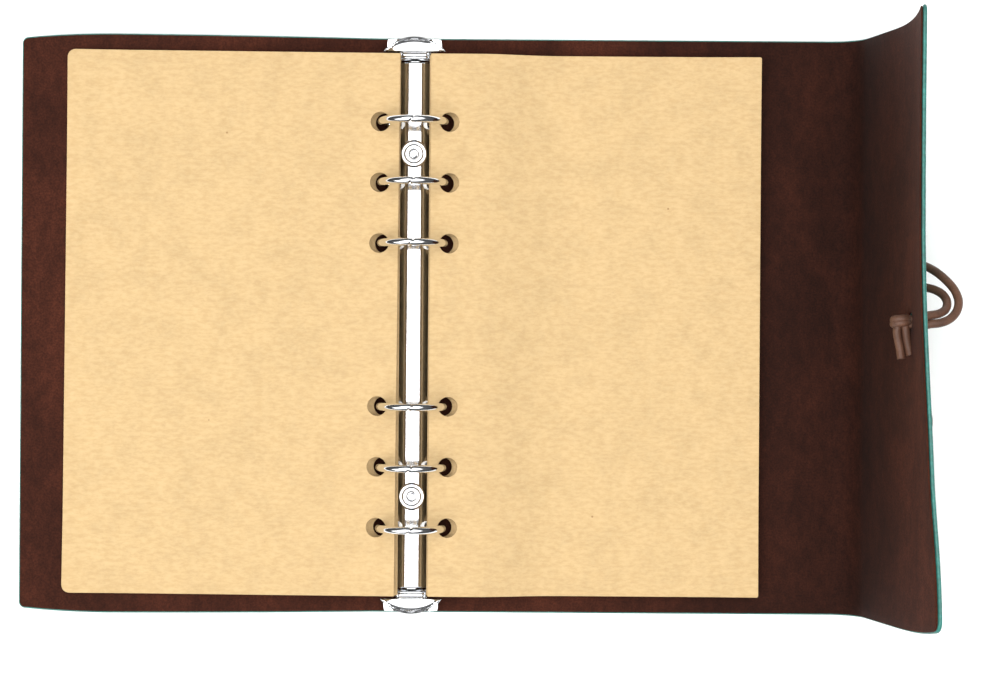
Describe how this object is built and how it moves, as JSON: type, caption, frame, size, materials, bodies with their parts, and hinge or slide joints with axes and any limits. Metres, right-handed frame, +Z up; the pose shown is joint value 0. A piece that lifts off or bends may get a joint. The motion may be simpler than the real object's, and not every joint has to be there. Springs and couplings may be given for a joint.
{
  "type": "ring-bound scrapbook album",
  "caption": "Open six-ring scrapbook album: two-layer wrap cover with a folding flap and thong, chromed ring mechanism with levers, and two stacks of punched kraft sheets.",
  "frame": {"origin": "centre of the spine strip's underside, on the surface that the open album lies on", "axes": "+X towards the back cover and its flap, +Y towards the top edge of the sheets, +Z up"},
  "size_m": [0.2886, 0.182, 0.0652],
  "materials": {
    "teal_leather": "smooth coated leather, dyed teal",
    "suede_lining": "matte dark brown napped lining",
    "chrome": "bright chrome plate",
    "steel": "plain nickelled spring steel",
    "kraft_card": "uncoated kraft card",
    "thong_leather": "matte brown leather lace"
  },
  "bodies": {
    "spine": {"spine_outer": "teal_leather", "spine_lining": "suede_lining", "ring_housing": "chrome", "post_top": "chrome", "post_bottom": "chrome", "post_cap_top": "chrome", "post_cap_bottom": "chrome", "lever_pin_top": "steel", "lever_pin_bottom": "steel"},
    "front_cover": {"front_cover_outer": "teal_leather", "front_cover_lining": "suede_lining"},
    "back_cover": {"back_cover_outer": "teal_leather", "back_cover_lining": "suede_lining"},
    "gusset": {"gusset_outer": "teal_leather", "gusset_lining": "suede_lining"},
    "flap": {"flap_outer": "teal_leather", "flap_lining": "suede_lining", "thong_strand_a": "thong_leather", "thong_strand_b": "thong_leather", "thong_hank": "thong_leather", "thong_keeper": "thong_leather", "thong_knot": "thong_leather", "thong_end_a": "thong_leather", "thong_end_b": "thong_leather"},
    "left_stack": {"left_sheet_1": "kraft_card", "left_sheet_2": "kraft_card", "left_sheet_3": "kraft_card", "left_sheet_4": "kraft_card", "left_sheet_5": "kraft_card", "left_sheet_6": "kraft_card", "left_sheet_7": "kraft_card"},
    "right_stack": {"right_sheet_1": "kraft_card", "right_sheet_2": "kraft_card", "right_sheet_3": "kraft_card", "right_sheet_4": "kraft_card", "right_sheet_5": "kraft_card", "right_sheet_6": "kraft_card", "right_sheet_7": "kraft_card", "right_sheet_8": "kraft_card"},
    "leaf": {"turning_leaf": "kraft_card"},
    "rings_left": {"rail_left": "steel", "half_ring_left_1": "chrome", "half_ring_left_2": "chrome", "half_ring_left_3": "chrome", "half_ring_left_4": "chrome", "half_ring_left_5": "chrome", "half_ring_left_6": "chrome"},
    "rings_right": {"rail_right": "steel", "half_ring_right_1": "chrome", "half_ring_right_2": "chrome", "half_ring_right_3": "chrome", "half_ring_right_4": "chrome", "half_ring_right_5": "chrome", "half_ring_right_6": "chrome"},
    "top_lever": {"lever_top": "chrome"},
    "bottom_lever": {"lever_bottom": "chrome"}
  },
  "joints": [
    {"name": "front_cover_fold", "type": "hinge", "parent": "spine", "child": "front_cover", "pos_m": [-0.013, 0, 0.0018], "axis": [0, 1, 0], "range_deg": [0, 90]},
    {"name": "back_cover_fold", "type": "hinge", "parent": "spine", "child": "back_cover", "pos_m": [0.013, 0, 0.0018], "axis": [0, -1, 0], "range_deg": [0, 90]},
    {"name": "gusset_fold", "type": "hinge", "parent": "back_cover", "child": "gusset", "pos_m": [0.1315, 0, 0.0018], "axis": [0, -1, 0], "range_deg": [0, 13]},
    {"name": "flap_fold", "type": "hinge", "parent": "gusset", "child": "flap", "pos_m": [0.14582, 0, 0.02799], "axis": [0, -1, 0], "range_deg": [0, 72]},
    {"name": "left_sheets_turn", "type": "hinge", "parent": "spine", "child": "left_stack", "pos_m": [0, 0, 0.0119], "axis": [0, 1, 0], "range_deg": [0, 90]},
    {"name": "right_sheets_turn", "type": "hinge", "parent": "spine", "child": "right_stack", "pos_m": [0, 0, 0.0119], "axis": [0, -1, 0], "range_deg": [0, 90]},
    {"name": "leaf_turn", "type": "hinge", "parent": "left_stack", "child": "leaf", "pos_m": [0, 0, 0.0119], "axis": [0, -1, 0], "range_deg": [-180, 0]},
    {"name": "rings_left_open", "type": "hinge", "parent": "spine", "child": "rings_left", "pos_m": [-0.0052, 0, 0.00222], "axis": [0, 1, 0], "range_deg": [-10, 0], "stiffness_Nm_per_rad": 0.02, "springref_deg": 20.05},
    {"name": "rings_right_open", "type": "hinge", "parent": "spine", "child": "rings_right", "pos_m": [0.0052, 0, 0.00222], "axis": [0, -1, 0], "range_deg": [-10, 0]},
    {"name": "top_lever_press", "type": "hinge", "parent": "spine", "child": "top_lever", "pos_m": [0, 0.0805, 0.0032], "axis": [1, 0, 0], "range_deg": [-10, 0]},
    {"name": "bottom_lever_press", "type": "hinge", "parent": "spine", "child": "bottom_lever", "pos_m": [0, -0.0805, 0.0032], "axis": [-1, 0, 0], "range_deg": [-10, 0]}
  ],
  "couplings": [
    {"joint": "left_sheets_turn", "follows": "front_cover_fold", "ratio": 1},
    {"joint": "right_sheets_turn", "follows": "back_cover_fold", "ratio": 1},
    {"joint": "rings_right_open", "follows": "rings_left_open", "ratio": 1},
    {"joint": "top_lever_press", "follows": "rings_left_open", "ratio": 1},
    {"joint": "bottom_lever_press", "follows": "rings_left_open", "ratio": 1}
  ]
}
